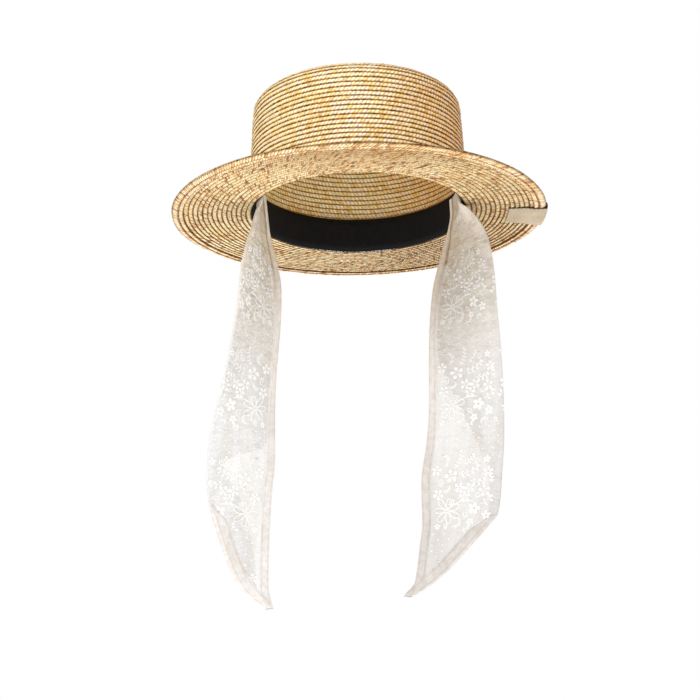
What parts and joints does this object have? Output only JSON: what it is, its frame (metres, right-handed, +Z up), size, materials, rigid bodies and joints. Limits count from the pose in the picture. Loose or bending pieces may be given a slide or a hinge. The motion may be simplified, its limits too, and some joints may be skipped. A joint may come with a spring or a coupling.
{
  "type": "boater hat with lace ties",
  "caption": "Sewn straw boater with a flat crown and flat brim, a ribbon sweatband, and long folded lace ties that hang from inside the crown to knot under the chin.",
  "frame": {"origin": "middle of the head opening, level with the underside of the brim", "axes": "+Z up through the crown, front toward -Y, wearer's left toward +X; the ties hang along -Z"},
  "size_m": [0.3016, 0.328, 0.4155],
  "materials": {
    "straw_crown": "sewn natural straw braid, satin, rows about 4 mm",
    "straw_brim": "sewn natural straw braid, satin, rows about 4 mm",
    "ribbon": "black ribbed ribbon, matte",
    "lace": "off-white net lace with a floral pattern and dots, matte",
    "tape": "cream woven tape, matte, blank"
  },
  "bodies": {
    "root": {"crown": "straw_crown", "brim": "straw_brim", "sweatband": "ribbon", "tie_left": "lace", "tie_right": "lace", "label": "tape"}
  },
  "joints": []
}
